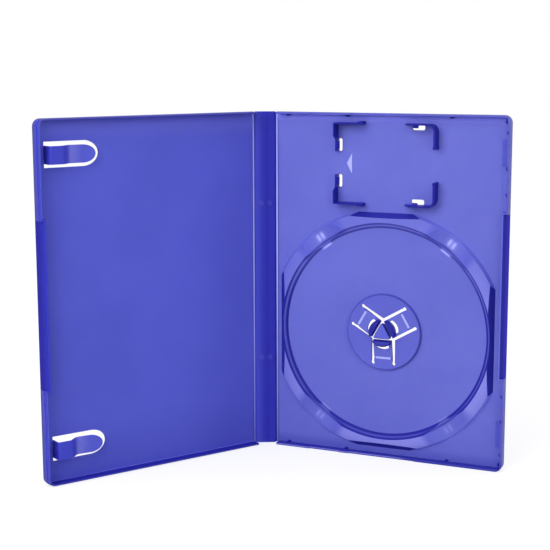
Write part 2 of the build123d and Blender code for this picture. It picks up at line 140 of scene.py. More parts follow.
# Surface of the plastic, with noise in waves to the metre
CLOUD_WAVES = 26.0
CLOUD_SHARE = 0.10
GLOSS_WAVES = 90.0
GLOSS_SPREAD = 0.18
GRAIN_WAVES = 2400.0
GRAIN_STRENGTH = 0.12
GRAIN_DEPTH = 0.12 * MM
STREAK_WAVES = 900.0
STREAK_SCALE = (1.0, 1.0, 0.06)
STREAK_SHARE = 0.3
SPECULAR_LEVEL = 0.13
SCATTER_RADIUS = (0.7, 0.7, 1.2)
MOULDED_SCATTER = 0.7
THIN_SCATTER = 0.0
THIN_ROUGHNESS = 0.34

# How far two colours lie from a panel's towards the cover's
BUTTON_SHADE = 0.6
MARK_SHADE = 0.25

# Clearances and fineness of the added pieces
WEB_END_GAP = 0.2 * MM
WEB_BEND_STEPS = 12
STRIP_LIFT = 0.01 * MM
STRIP_EDGE_STEPS = 3
MARK_CORNERS = 32

# Numbers of the Mix node's sockets for colours
MIX_FACTOR = 0
MIX_FIRST = 6
MIX_SECOND = 7
MIX_RESULT = 2

# Studio
PHOTO_PIXELS = 550
SENSOR_MM = 36.0
NEAREST_SEEN = 10 * MM
FLOOR_HALF_SIZE = 6.0
FLOOR_DROP = 0.05 * MM


def turned(fold):
    """Direction from a hinge line along the next leaf, for a fold angle measured from flat."""
    return Vector((-cos(fold), -sin(fold), 0.0))


def inward(fold):
    """Direction into the case from a leaf at a fold angle."""
    return Vector((sin(fold), -cos(fold), 0.0))


# Settings


def length(name, description, default):
    """A length setting."""
    return bpy.props.FloatProperty(name=name, description=description, default=default, unit="LENGTH")


def angle(name, description, default):
    """An angle setting."""
    return bpy.props.FloatProperty(name=name, description=description, default=default, subtype="ANGLE")


def share(name, description, default):
    """A setting from 0 to 1."""
    return bpy.props.FloatProperty(
        name=name, description=description, default=default, min=0.0, max=1.0, subtype="FACTOR"
    )


def spot(name, description, default):
    """A place in the case's frame, as a setting."""
    return bpy.props.FloatVectorProperty(
        name=name, description=description, default=default, size=3, subtype="TRANSLATION"
    )


def plastic_colour(name, description, default):
    """A colour setting for one state of the plastic."""
    return bpy.props.FloatVectorProperty(
        name=name, description=description, default=default, size=3, min=0.0, max=1.0, subtype="COLOR"
    )


class CaseSizes(bpy.types.PropertyGroup):
    """Sizes of the pieces that are added to the moulded case."""

    web_reach: length("Hinge web reach", "From a hinge line to each edge of its thin web", 0.85 * MM)
    web_thickness: length("Hinge web thickness", "Thickness of the web along a hinge line", 0.62 * MM)
    strip_length: length("Arm strip length", "Length of the pale strip where a hub arm bends", 8.6 * MM)
    strip_width: length("Arm strip width", "Width of the pale strip where a hub arm bends", 1.28 * MM)
    strip_height: length("Arm strip height", "Height of the strip in its groove", 0.76 * MM)
    strip_round: length("Arm strip round", "Radius of the strip's long edges", 0.152 * MM)
    arrow_length: length("Arrow length", "Length of the arrow mark in the card holder", 2.9 * MM)
    arrow_width: length("Arrow width", "Width of the arrow mark across its flat end", 11.0 * MM)
    arrow_rise: length("Arrow rise", "How far the arrow mark stands out of the tray", 0.12 * MM)
    arrow_across: length("Arrow place across", "From the tray's hinge line to the arrow's tip", 42.2 * MM)
    arrow_up: length("Arrow place up", "Height of the arrow's tip over the foot of the case", 162.5 * MM)
    mark_radius: length("Mark radius", "Radius of a round mark that the mould left", 1.45 * MM)
    mark_rise: length("Mark rise", "How far a round mark stands out of the spine", 0.06 * MM)
    mark_gap: length("Mark gap", "Between the two marks of a row", 4.6 * MM)
    mark_drop: length("Mark drop", "Between the two rows of marks", 88.4 * MM)
    mark_up: length("Mark place up", "Height halfway between the two rows of marks", 94.7 * MM)


class CaseColours(bpy.types.PropertyGroup):
    """Colours of the translucent plastic, from thin to thick, the painted shade, light and reflection laid
    over it, and its surface.
    """

    tray: plastic_colour("Tray panel", "The tray's thin panel", (0.163, 0.180, 0.650))
    cover: plastic_colour("Cover panel", "The cover's thin panel", (0.116, 0.135, 0.680))
    spine: plastic_colour("Spine panel", "The spine", (0.032, 0.034, 0.450))
    # Darkest tone of the plastic: its cloudy tone, and painted shade on walls seen along their depth, in
    # corners and towards the bottom
    deep_tone_and_shade: plastic_colour("Deep plastic", "Where a wall is seen along its depth", (0.013, 0.012, 0.310))
    # Painted shade on steps, slopes, notches and raised parts
    rich_shade: plastic_colour("Rich plastic", "Steps and slopes that gather light", (0.030, 0.032, 0.540))
    # Painted reflection and highlights: the ring's shoulders, the dips' floors, the clips' toes and the
    # tray's bottom rim
    pale_sheen: plastic_colour("Pale plastic", "The nest ring's polished shoulders", (0.300, 0.305, 0.800))
    # Painted light beside the rims, on the nest ring and at the cover's lower corner
    glow: plastic_colour("Glowing plastic", "Where light comes through beside a rim", (0.300, 0.310, 1.000))
    # Painted shade on edges and top faces that turn away from the light
    dull_shade: plastic_colour("Dull plastic", "Edges that turn away from the light", (0.040, 0.038, 0.190))
    # Whitened plastic of the bent webs with painted light coming through it; also painted glints on the
    # ring and painted light on the button's flange
    web: plastic_colour("Thin web", "Bent webs, where the plastic is thinnest", (0.470, 0.490, 1.000))
    roughness: share("Roughness", "Roughness of the satin moulded surface", 0.42)
    scatter: length("Scatter depth", "How far light travels inside the plastic", 1.0 * MM)


class CaseStage(bpy.types.PropertyGroup):
    """Camera, light and floor of the studio."""

    camera_place: spot("Camera place", "Where the camera stands", (0.23455, -0.6760, 0.2215))
    camera_yaw: angle("Camera yaw", "Turn of the view to the left of straight ahead", radians(24.03))
    camera_pitch: angle("Camera pitch", "Tilt of the view below the horizon", radians(9.463))
    camera_roll: angle("Camera roll", "Roll of the camera about its line of sight", radians(0.1585))
    focal_pixels: bpy.props.FloatProperty(
        name="Focal length in pixels",
        description="Focal length of the camera in pixels of the square picture",
        default=1327.47,
        subtype="PIXEL",
    )
    sky_level: bpy.props.FloatProperty(
        name="Sky level", description="Strength of the even light from all round", default=0.83, min=0.0
    )
    key_power: bpy.props.FloatProperty(
        name="Key light", description="Power of the large soft light in front", default=9.0, unit="POWER"
    )
    key_place: spot("Key place", "Where the large soft light hangs", (-0.35, -1.1, 0.7))
    key_size: length("Key size", "Side of the large soft light", 0.9)
    fill_share: share("Fill light", "Power of the light on the right, as a share of the key light", 0.2)
    fill_place: spot("Fill place", "Where the light on the right hangs", (0.9, -0.7, 0.6))
    fill_size: length("Fill size", "Side of the light on the right", 0.8)
    lamp_target: spot("Lamp target", "Where both lights point", (-0.03, -0.03, 0.1))
    floor_level: share("Floor level", "How pale the floor is to the light that falls on it", 0.42)


# Node trees


class Wire:
    """A node's output that takes part in sums: each operator adds a Math node."""

    def __init__(self, bench, socket):
        self.bench = bench
        self.socket = socket

    def sum_of(self, operation, first, second=None):
        """Adds the Math node of one operation."""
        values = {0: first} if second is None else {0: first, 1: second}
        return self.bench.add("ShaderNodeMath", {"operation": operation}, values)["Value"]

    def __add__(self, other):
        return self.sum_of("ADD", self, other)

    def __sub__(self, other):
        return self.sum_of("SUBTRACT", self, other)

    def __rsub__(self, other):
        return self.sum_of("SUBTRACT", other, self)

    def __mul__(self, other):
        return self.sum_of("MULTIPLY", self, other)

    def __truediv__(self, other):
        return self.sum_of("DIVIDE", self, other)

    def __rtruediv__(self, other):
        return self.sum_of("DIVIDE", other, self)

    def __pow__(self, other):
        return self.sum_of("POWER", self, other)

    def __rpow__(self, other):
        return self.sum_of("POWER", other, self)

    def __abs__(self):
        return self.sum_of("ABSOLUTE", self)

    def least(self, other):
        """The smaller of two values."""
        return self.sum_of("MINIMUM", self, other)

    __radd__ = __add__
    __rmul__ = __mul__


class Bench:
    """A node tree under construction, with one method that adds any node."""

    def __init__(self, tree):
        self.tree = tree

    def add(self, kind, settings=None, inputs=None):
        """Adds a node and gives its outputs by name and by number."""
        node = self.tree.nodes.new(kind)
        for key, value in (settings or {}).items():
            setattr(node, key, value)
        for key, value in (inputs or {}).items():
            if isinstance(value, Wire):
                self.tree.links.new(value.socket, node.inputs[key])
            else:
                node.inputs[key].default_value = value
        outputs = {output.name: Wire(self, output) for output in node.outputs if output.enabled}
        outputs.update({number: Wire(self, output) for number, output in enumerate(node.outputs)})
        return outputs

    def ramp(self, value, low, high, start=0.0, end=1.0):
        """Smooth step of a value from one limit to the other."""
        inputs = {"Value": value, "From Min": low, "From Max": high, "To Min": start, "To Max": end}
        return self.add("ShaderNodeMapRange", {"interpolation_type": "SMOOTHSTEP"}, inputs)["Result"]

    def over(self, value, limit, border):
        """1 over a limit and 0 under it, with a soft border."""
        return self.ramp(value, limit - border, limit + border)

    def under(self, value, limit, border):
        """1 under a limit and 0 over it, with a soft border."""
        return self.ramp(value, limit + border, limit - border)

    def band(self, value, middle, reach, soft):
        """1 where a value is within reach of a middle, falling to 0 over a soft border."""
        return self.ramp(abs(value - middle), reach + soft, reach)

    def dot(self, vector, direction):
        """How far a vector goes along a direction."""
        inputs = {0: vector, 1: tuple(direction)}
        return self.add("ShaderNodeVectorMath", {"operation": "DOT_PRODUCT"}, inputs)["Value"]

    def blend(self, factor, first, second):
        """Mix of two colours."""
        inputs = {MIX_FACTOR: factor, MIX_FIRST: first, MIX_SECOND: second}
        return self.add("ShaderNodeMix", {"data_type": "RGBA"}, inputs)[MIX_RESULT]

    def noise(self, vector, scale, detail=2.0, rough=0.5):
        """Noise around 0.5 at a scale in waves to the metre."""
        inputs = {"Vector": vector, "Scale": scale, "Detail": detail, "Roughness": rough}
        return self.add("ShaderNodeTexNoise", None, inputs)[0]

    def vector(self, **parts):
        """A vector from its parts."""
        return self.add("ShaderNodeCombineXYZ", None, parts)["Vector"]

    def looked_at(self):
        """1 for what the camera sees, straight or by way of gloss and clear plastic."""
        path = self.add("ShaderNodeLightPath")
        return path["Is Camera Ray"] + path["Is Glossy Ray"] + path["Is Transmission Ray"]


class Leaf:
    """A shaded point's place on a leaf: across from the hinge line, up, and depth from the outer face."""

    def __init__(self, bench, line, across, into):
        coordinates = bench.add("ShaderNodeTexCoord")
        self.bench = bench
        self.place = coordinates["Object"]
        self.across = bench.dot(self.place, across) - line.dot(across)
        self.up = bench.dot(self.place, UP)
        self.depth = bench.dot(self.place, into) - (line.dot(into) - HALF_WEB)
        self.face_across = bench.dot(coordinates["Normal"], across)
        self.face_up = bench.dot(coordinates["Normal"], UP)
        facing = abs(bench.dot(coordinates["Normal"], into))
        self.steep = bench.ramp(facing, STEEP_START, STEEP_FULL)

    def edge(self):
        """Distance inside the leaf's three outer edges."""
        return (LEAF_WIDTH - self.across).least(self.up).least(CASE_HEIGHT - self.up)

    def off_middle(self):
        """Distance up or down from half the height."""
        return abs(self.up - HALF_HEIGHT)

    def foot(self):
        """1 along the bottom edge."""
        return self.bench.ramp(self.up, 8.0 * MM, 2.0 * MM)

    def head(self, reach):
        """1 along the top edge, fading out at a reach below it."""
        return self.bench.ramp(self.up, CASE_HEIGHT - reach, CASE_HEIGHT - 1.5 * MM)

    def top_face(self):
        """1 on faces that look up."""
        return self.bench.ramp(self.face_up, 0.5, 0.9)

    def beside_notch(self):
        """1 at the height of the thumb notch and its two ends."""
        return self.bench.band(self.up, HALF_HEIGHT, NOTCH_HALF + NOTCH_END, HAIR)

    def notch(self):
        """1 along the thumb notch, for what lies on the opening edge."""
        along = self.bench.band(self.up, HALF_HEIGHT, NOTCH_HALF, 0.03 * MM)
        return along * self.bench.over(self.across, LEAF_WIDTH - NOTCH_CUT, HAIR)

    def notch_wall(self):
        """1 on the steep face of the thumb notch."""
        return self.notch() * self.bench.ramp(self.steep, 0.1, 0.5)

    def from_hub(self):
        """Place about the hub: to the right, above, and the distance."""
        right = self.across - (HUB.x - TRAY_LINE.x)
        above = self.up - HUB.z
        return right, above, (right * right + above * above) ** 0.5


def tray_leaf(bench):
    """Places on the tray."""
    return Leaf(bench, TRAY_LINE, -turned(0.0), inward(0.0))


def spine_leaf(bench):
    """Places on the spine."""
    return Leaf(bench, TRAY_LINE, turned(TRAY_FOLD), inward(TRAY_FOLD))


def cover_leaf(bench):
    """Places on the cover."""
    return Leaf(bench, COVER_LINE, turned(TRAY_FOLD + COVER_FOLD), inward(TRAY_FOLD + COVER_FOLD))


def new_material(name):
    """An empty node material and the bench for its tree."""
    material = bpy.data.materials.new(name)
    material.use_nodes = True
    material.node_tree.nodes.clear()
    return material, Bench(material.node_tree)


def rgba(colour):
    """A colour with full alpha."""
    return (*colour, 1.0)


def satin(bench, place, colour, roughness, grain, scatter):
    """Ends a material with satin plastic: fine grain, uneven gloss and a share of inner scatter."""
    colours = bpy.context.scene.case_colours
    gloss = bench.noise(place, GLOSS_WAVES)
    relief = {"Strength": GRAIN_STRENGTH, "Distance": GRAIN_DEPTH, "Height": grain}
    surface = bench.add(
        "ShaderNodeBsdfPrincipled",
        None,
        {
            "Base Color": colour,
            "Roughness": roughness + (gloss - 0.5) * GLOSS_SPREAD,
            "Specular IOR Level": SPECULAR_LEVEL,
            "Subsurface Weight": scatter,
            "Subsurface Radius": SCATTER_RADIUS,
            "Subsurface Scale": colours.scatter,
            "Normal": bench.add("ShaderNodeBump", None, relief)["Normal"],
        },
    )["BSDF"]
    bench.add("ShaderNodeOutputMaterial", None, {"Surface": surface})


def moulded_plastic(name, leaf_of, thin, layers):
    """Plastic of one stretch: its thin colour, clouded a little, under layers of (mask, colour), which are
    mostly painted shade and light.
    """
    colours = bpy.context.scene.case_colours
    material, bench = new_material(name)
    leaf = leaf_of(bench)
    cloud = bench.ramp(bench.noise(leaf.place, CLOUD_WAVES, 3.0), 0.3, 0.7, 0.0, CLOUD_SHARE)
    colour = bench.blend(cloud, rgba(thin), rgba(colours.deep_tone_and_shade))
    for mask, shade in layers(leaf):
        colour = bench.blend(mask, colour, rgba(shade))
    grain = bench.noise(leaf.place, GRAIN_WAVES, 3.0, 0.6)
    satin(bench, leaf.place, colour, colours.roughness, grain, MOULDED_SCATTER)
    return material


def thin_web(name):
    """Pale plastic of a web that has been bent, whitened by the bending and with painted light coming
    through it, a little streaked along its length.
    """
    colours = bpy.context.scene.case_colours
    material, bench = new_material(name)
    place = bench.add("ShaderNodeTexCoord")["Object"]
    drawn = bench.add("ShaderNodeMapping", None, {"Vector": place, "Scale": STREAK_SCALE})[0]
    streak = bench.noise(drawn, STREAK_WAVES)
    glow = bench.ramp(streak, 0.25, 0.75, 0.0, STREAK_SHARE)
    colour = bench.blend(glow, rgba(colours.web), rgba(colours.glow))
    satin(bench, place, colour, THIN_ROUGHNESS, streak, THIN_SCATTER)
    return material


# Layers over the plastic, mostly painted shade, light and reflection, from the bottom up


def tray_layers(leaf):
    """Painted shade and light on the rim, latch pads, card holder and notch of the tray, under its nest
    ring and hub plate.
    """
    colours = bpy.context.scene.case_colours
    bench = leaf.bench
    radius = leaf.from_hub()[2]
    inside = bench.over(leaf.edge(), RIM_INSIDE, HAIR)
    front = (1 - inside) * (1 - leaf.steep) * bench.over(leaf.depth, TRAY_FRONT, 0.5 * MM)
    shine = bench.band(leaf.edge(), RIM_MIDDLE, 0.1 * MM, 0.25 * MM)
    nest = bench.under(radius, NEST_REACH, CRISP) * bench.under(leaf.across, NOTCH_BLOCK, CRISP)
    block = leaf.beside_notch() * bench.over(leaf.across, NOTCH_BLOCK, CRISP)
    tall = bench.over(leaf.depth, HOLDER_BASE, CRISP) * inside * (1 - nest) * (1 - block)
    pad = bench.band(leaf.depth, PANEL + LATCH_RISE, 0.1 * MM, HAIR) * inside * (1 - nest)
    low_left_shade = bench.ramp(leaf.up + leaf.across * 0.3, 70.0 * MM, 5.0 * MM)
    left = bench.ramp(leaf.across, 80.0 * MM, 74.0 * MM)
    foot = leaf.foot()
    head = leaf.head(6.0 * MM)
    off_middle = leaf.off_middle()
    ribs = sum(bench.band(off_middle, HALF_HEIGHT - rib, 0.7 * MM, 0.6 * MM) for rib in EDGE_RIBS)
    ribs = ribs * bench.band(leaf.across, LEAF_WIDTH - EDGE_RIB_INSET, 0.3 * MM, 0.4 * MM)
    block_top = block * bench.ramp(leaf.depth, 5.4 * MM, 5.8 * MM)
    notch_front = leaf.notch() * bench.ramp(leaf.depth, 2.6 * MM, 4.4 * MM)
    ring_zone = nest * bench.ramp(radius, 40.0 * MM, 45.0 * MM)
    plate_zone = bench.ramp(radius, 23.0 * MM, 22.0 * MM)
    # Painted shade towards the lower left and along the foot, painted light under the top rim, painted
    # shade on the rim's fronts and a painted highlight along the left of the bottom rim
    yield low_left_shade * 0.16, colours.deep_tone_and_shade
    yield foot * inside * 0.3, colours.deep_tone_and_shade
    yield head * inside * 0.85, colours.glow
    yield front * (1 - foot) * 0.3, colours.deep_tone_and_shade
    yield front * foot * 0.75, colours.deep_tone_and_shade
    yield front * foot * shine * left * 0.75, colours.pale_sheen
    # Painted shade on the edge ribs and on the rim's steep and top faces
    yield front * ribs * 0.85, colours.deep_tone_and_shade
    yield leaf.steep * (1 - inside) * 0.4, colours.deep_tone_and_shade
    yield foot * leaf.top_face() * (1 - inside) * 0.8, colours.deep_tone_and_shade
    yield head * leaf.top_face() * (1 - inside) * 0.7, colours.dull_shade
    # Painted shade on steep walls and the card holder's walls, a darker band over the latch pads, and
    # painted shade on the notch block and in the notch
    yield leaf.steep * inside * (1 - nest), colours.deep_tone_and_shade
    yield pad * 0.4, colours.rich_shade
    yield tall, colours.deep_tone_and_shade
    yield block_top * 0.15, colours.rich_shade
    yield leaf.notch_wall(), colours.rich_shade
    yield notch_front * leaf.steep * 0.75, colours.deep_tone_and_shade
    yield from ring_layers(leaf, ring_zone)
    yield from plate_layers(leaf, plate_zone)


def ring_layers(leaf, zone):
    """Nest ring: painted shade on its inner face with two dark painted lines and painted light up top,
    painted shade and light on its outer face with dark flats, then its shoulders and dips.
    """
    colours = bpy.context.scene.case_colours
    bench = leaf.bench
    right, above, radius = leaf.from_hub()
    outward = (leaf.face_across * right + leaf.face_up * above) / radius
    flat = bench.ramp(abs(leaf.face_across).least(abs(leaf.face_up)), 0.12, 0.05)
    sloped = bench.ramp(leaf.steep, 0.15, 0.55) * zone
    inner = sloped * bench.ramp(outward, -0.1, -0.4)
    outer = sloped * bench.ramp(outward, 0.1, 0.4)
    # Depths of the crest and the foot of the inner face, where two dark lines of painted shade run
    shade_lines = bench.ramp(leaf.depth, 2.7 * MM, 2.1 * MM) + bench.ramp(leaf.depth, 2.9 * MM, 3.4 * MM)
    low = bench.ramp(above, 20.0 * MM, -50.0 * MM)
    high = bench.ramp(above, 5.0 * MM, 45.0 * MM)
    shoulder = (zone - sloped) * bench.over(leaf.depth, RING_BASE, HAIR)
    yield inner * (low * 0.25 + 0.3), colours.deep_tone_and_shade
    yield inner * high * 0.6, colours.glow
    yield inner * shade_lines * (0.95 - high * 0.25), colours.deep_tone_and_shade
    # Painted shade and light on the outer face, with dark flats of painted shade
    yield outer * (1 - flat) * (1 - low) * 0.2, colours.rich_shade
    yield outer * (1 - flat) * low * 0.7, colours.glow
    yield outer * flat * 0.95, colours.deep_tone_and_shade
    yield from dip_layers(leaf, zone, shoulder, low)


def dip_layers(leaf, zone, shoulder, low):
    """Painted reflection on the ring's polished shoulders, and its four dips: painted shade on their flanks
    and a dark line of painted shade over a floor with painted highlights and glints.
    """
    colours = bpy.context.scene.case_colours
    bench = leaf.bench
    right, above, radius = leaf.from_hub()
    along = abs(right) * cos(DIP_ANGLE) + abs(above) * sin(DIP_ANGLE)
    beside = abs(abs(above) * cos(DIP_ANGLE) - abs(right) * sin(DIP_ANGLE))
    dip = bench.ramp(beside, 17.5 * MM, 11.5 * MM)
    # Painted shade on the dips' flanks, stronger towards their ends and weaker low down
    flank = bench.ramp(beside, 2.0 * MM, 13.0 * MM, 0.05, 0.3) * (1 - low * 0.5)
    # Painted highlights on each dip's floor: a haze and two streaks
    floor = bench.ramp(beside, 5.0 * MM, 0.6 * MM) * bench.band(along, DIP_MIDDLE, 0.8 * MM, 2.6 * MM)
    highlight_streaks = bench.band(beside, 1.4 * MM, 0.1 * MM, 1.2 * MM)
    highlight_streaks = highlight_streaks * bench.band(along, DIP_MIDDLE + 0.2 * MM, 0.6 * MM, 2.4 * MM)
    # A dark line of painted shade across each dip, and a painted glint at its foot
    line = bench.band(radius, DIP_LINE, 0.4 * MM, 0.6 * MM) * dip * zone
    glint = bench.band(along, DIP_GLINT, 0.4 * MM, 0.6 * MM) * bench.ramp(beside, 4.2 * MM, 1.8 * MM)
    lit = bench.ramp(above - right * 0.3, -60.0 * MM, 40.0 * MM, 0.2, 1.0) * zone
    # Painted reflection on the shoulders, strongest towards the lower right
    painted_sheen = bench.ramp(right * 0.4 - above * 0.8, -60.0 * MM, 55.0 * MM, 0.05, 0.8)
    painted_sheen = painted_sheen * bench.ramp(radius, 67.5 * MM, 62.0 * MM, 0.5)
    yield shoulder * (1 - dip) * painted_sheen, colours.pale_sheen
    yield shoulder * dip * flank, colours.rich_shade
    yield floor * lit * 0.65, colours.pale_sheen
    yield line * 0.6, colours.deep_tone_and_shade
    yield highlight_streaks * lit, colours.web
    yield glint * lit * 0.8, colours.web


def plate_layers(leaf, zone):
    """Hub plate, a little darker than the panel, with painted shade on its sides and a dark line of painted
    shade along its edge.
    """
    colours = bpy.context.scene.case_colours
    bench = leaf.bench
    edge = bench.band(leaf.from_hub()[2], PLATE_EDGE, 0.25 * MM, 0.3 * MM)
    raised = bench.ramp(leaf.depth, 2.0 * MM, 2.3 * MM)
    yield zone * raised * 0.17, colours.rich_shade
    yield zone * leaf.steep * (1 - edge), colours.deep_tone_and_shade
    yield zone * edge * 0.5, colours.deep_tone_and_shade


def spine_layers(leaf):
    """Painted shade on the edges and top faces of the spine, painted light on its cover side, and the faint
    line down its middle.
    """
    colours = bpy.context.scene.case_colours
    bench = leaf.bench
    # Painted light on the cover side
    cover_side = bench.ramp(leaf.across, 7.0 * MM, 12.0 * MM)
    line = bench.band(leaf.across, SPINE_LINE, 0.3 * MM, 0.8 * MM)
    yield cover_side * 0.4, colours.cover
    yield line * 0.3, colours.deep_tone_and_shade
    yield leaf.steep * 0.6, colours.deep_tone_and_shade
    yield leaf.top_face(), colours.dull_shade


def cover_layers(leaf):
    """Painted shade and light on the rim, step and notch of the cover, with painted shade near the spine
    and towards the bottom.
    """
    colours = bpy.context.scene.case_colours
    bench = leaf.bench
    outer = bench.under(leaf.edge(), COVER_OUTSIDE, HAIR)
    rim = bench.under(leaf.edge(), RIM_INSIDE, HAIR)
    foot = leaf.foot()
    head = leaf.head(14.0 * MM)
    front = bench.over(leaf.depth, COVER_FRONT, CRISP) * (1 - leaf.steep)
    level = bench.ramp(leaf.off_middle(), HALF_HEIGHT - 3.0 * MM, HALF_HEIGHT - 1.4 * MM)
    step = bench.over(leaf.depth, COVER_RIM - COVER_STEP, HAIR)
    corner = bench.band(leaf.depth, PANEL + 0.4 * MM, 0.3 * MM, 0.4 * MM)
    back = bench.ramp(leaf.depth, 2.6 * MM, 1.2 * MM)
    notch_back = bench.ramp(leaf.depth, 7.0 * MM, 2.6 * MM, 0.45, 0.95)
    hinge_side_shade = bench.ramp(leaf.across, 55.0 * MM, 2.0 * MM)
    low = bench.ramp(leaf.up, 40.0 * MM, 0.0)
    # Painted shade near the spine and towards the bottom, painted light under the top rim, and painted
    # shade on the rim's fronts
    yield hinge_side_shade * 0.16, colours.deep_tone_and_shade
    yield low * 0.2, colours.deep_tone_and_shade
    yield head * (1 - rim) * 0.3, colours.glow
    yield front * level * (foot * 0.35 + 0.3), colours.deep_tone_and_shade
    yield front * level * head * 0.5, colours.dull_shade
    yield front * leaf.beside_notch() * 0.7, colours.rich_shade
    # Painted shade on steep faces and the outer edge, painted light at the bottom corner, and painted shade
    # in the notch
    yield leaf.steep * (1 - outer) * (foot * 0.2 + 0.75), colours.deep_tone_and_shade
    yield leaf.steep * foot * corner * 0.6, colours.glow
    yield leaf.steep * outer * 0.72, colours.deep_tone_and_shade
    yield leaf.steep * outer * step * 0.5, colours.rich_shade
    yield outer * back * 0.85, colours.dull_shade
    yield outer * leaf.top_face(), colours.dull_shade
    yield leaf.notch_wall() * 0.85, colours.rich_shade
    yield leaf.notch_wall() * notch_back, colours.deep_tone_and_shade


def clip_layers(leaf):
    """Painted shade on the upright root and raised strap of a booklet clip, and a painted highlight in its
    hollow toe.
    """
    colours = bpy.context.scene.case_colours
    bench = leaf.bench
    strap = bench.ramp(leaf.depth, 4.5 * MM, 6.0 * MM)
    toe_highlight = bench.ramp(leaf.depth, 3.8 * MM, 2.8 * MM) * (1 - leaf.steep)
    yield strap * 0.55, colours.rich_shade
    yield toe_highlight * 0.65, colours.pale_sheen
    yield leaf.steep * 0.6, colours.rich_shade


def arm_layers(leaf):
    """Painted shade on the sides and lug of a hub arm, with a paler lug on the lower arm."""
    colours = bpy.context.scene.case_colours
    bench = leaf.bench
    _, above, radius = leaf.from_hub()
    lug = bench.under(radius, LUG_REACH, HAIR)
    shade = bench.ramp(above, -2.4 * MM, -1.0 * MM, 0.72, 0.9)
    yield leaf.steep * 0.9, colours.deep_tone_and_shade
    yield lug * shade, colours.deep_tone_and_shade


def button_layers(leaf):
    """Painted shade on the sides of the button, and painted light on its thin flange, which has painted
    shade on the right and below.
    """
    colours = bpy.context.scene.case_colours
    bench = leaf.bench
    right, above, _ = leaf.from_hub()
    rightward = right * cos(ARM_ANGLE) + above * sin(ARM_ANGLE)
    flange = bench.under(leaf.depth, FLANGE_TOP, 0.05 * MM)
    lower_side = bench.under(above, -FLANGE_SIDE, 0.2 * MM)
    right_side = bench.over(rightward, FLANGE_SIDE, 0.2 * MM)
    yield leaf.steep * 0.8, colours.deep_tone_and_shade
    yield flange * 0.85, colours.web
    yield flange * lower_side * 0.5, colours.rich_shade
    yield flange * right_side * 0.85, colours.deep_tone_and_shade


# Pieces


def finish_node(node, material):
    """Gives a CAD node its finish."""
    materials = frame["nodes"][node].data.materials
    materials.clear()
    materials.append(material)


def node_tree(name, sizes):
    """A Geometry Nodes tree with named lengths, and the bench and lengths to build it with."""
    tree = bpy.data.node_groups.new(name, "GeometryNodeTree")
    tree.interface.new_socket("Geometry", in_out="OUTPUT", socket_type="NodeSocketGeometry")
    for size in sizes:
        tree.interface.new_socket(size, in_out="INPUT", socket_type="NodeSocketFloat")
    bench = Bench(tree)
    return tree, bench, bench.add("NodeGroupInput")


def close_tree(bench, geometry, material):
    """Ends a tree with real geometry in its material."""
    real = bench.add("GeometryNodeRealizeInstances", None, {"Geometry": geometry})["Geometry"]
    inputs = {"Geometry": real, "Material": material}
    dressed = bench.add("GeometryNodeSetMaterial", None, inputs)["Geometry"]
    bench.add("NodeGroupOutput", None, {"Geometry": dressed})


def plain_mesh(thing):
    """The mesh that an object's modifiers give, by itself."""
    graph = bpy.context.evaluated_depsgraph_get()
    return bpy.data.meshes.new_from_object(thing.evaluated_get(graph), depsgraph=graph)


def grow(name, tree, sizes, smooth):
    """Runs a tree with its lengths and keeps the result as a plain mesh object."""
    host = bpy.data.objects.new(name + "_host", bpy.data.meshes.new(name + "_host"))
    bpy.context.scene.collection.objects.link(host)
    modifier = host.modifiers.new("Tree", "NODES")
    modifier.node_group = tree
    for item in tree.interface.items_tree:
        if item.in_out == "INPUT":
            modifier[item.identifier] = sizes[item.name]
    mesh = plain_mesh(host)
    host.modifiers.remove(modifier)
    bpy.data.objects.remove(host)
    shape = bmesh.new()
    shape.from_mesh(mesh)
    bmesh.ops.recalc_face_normals(shape, faces=shape.faces)
    shape.to_mesh(mesh)
    shape.free()
    piece = bpy.data.objects.new(name, mesh)
    bpy.context.scene.collection.objects.link(piece)
    for polygon in mesh.polygons:
        polygon.use_smooth = smooth
    return piece


def stand_on(piece, origin, across, up):
    """Moves a mesh made about the origin to its place on a leaf, with its z along across x up."""
    out = across.cross(up)
    turn = Matrix((across, up, out)).transposed().to_4x4()
    piece.data.transform(Matrix.Translation(origin) @ turn)


def web_tree(material):
    """A sheet along a hinge line: a short bent section, drawn up the height of the case."""
    tree, bench, given = node_tree("Hinge web", ("Near X", "Near Y", "Far X", "Far Y", "Height"))
    bend = {
        "Resolution": WEB_BEND_STEPS,
        "Start": bench.vector(X=given["Near X"], Y=given["Near Y"]),
        "Middle": (0, 0, 0),
        "End": bench.vector(X=given["Far X"], Y=given["Far Y"]),
    }
    section = bench.add("GeometryNodeCurveQuadraticBezier", None, bend)[0]
    edge = bench.add("GeometryNodeCurveToMesh", None, {"Curve": section})["Mesh"]
    rise = {"Mesh": edge, "Offset": bench.vector(Z=given["Height"]), "Offset Scale": 1.0}
    sheet = bench.add("GeometryNodeExtrudeMesh", {"mode": "EDGES"}, rise)["Mesh"]
    close_tree(bench, sheet, material)
    return tree


def solid_sheet(piece, thickness):
    """Gives a sheet its thickness, half to each side."""
    modifier = piece.modifiers.new("Thickness", "SOLIDIFY")
    modifier.thickness = thickness
    modifier.offset = 0.0
    mesh = plain_mesh(piece)
    piece.modifiers.remove(modifier)
    piece.data = mesh


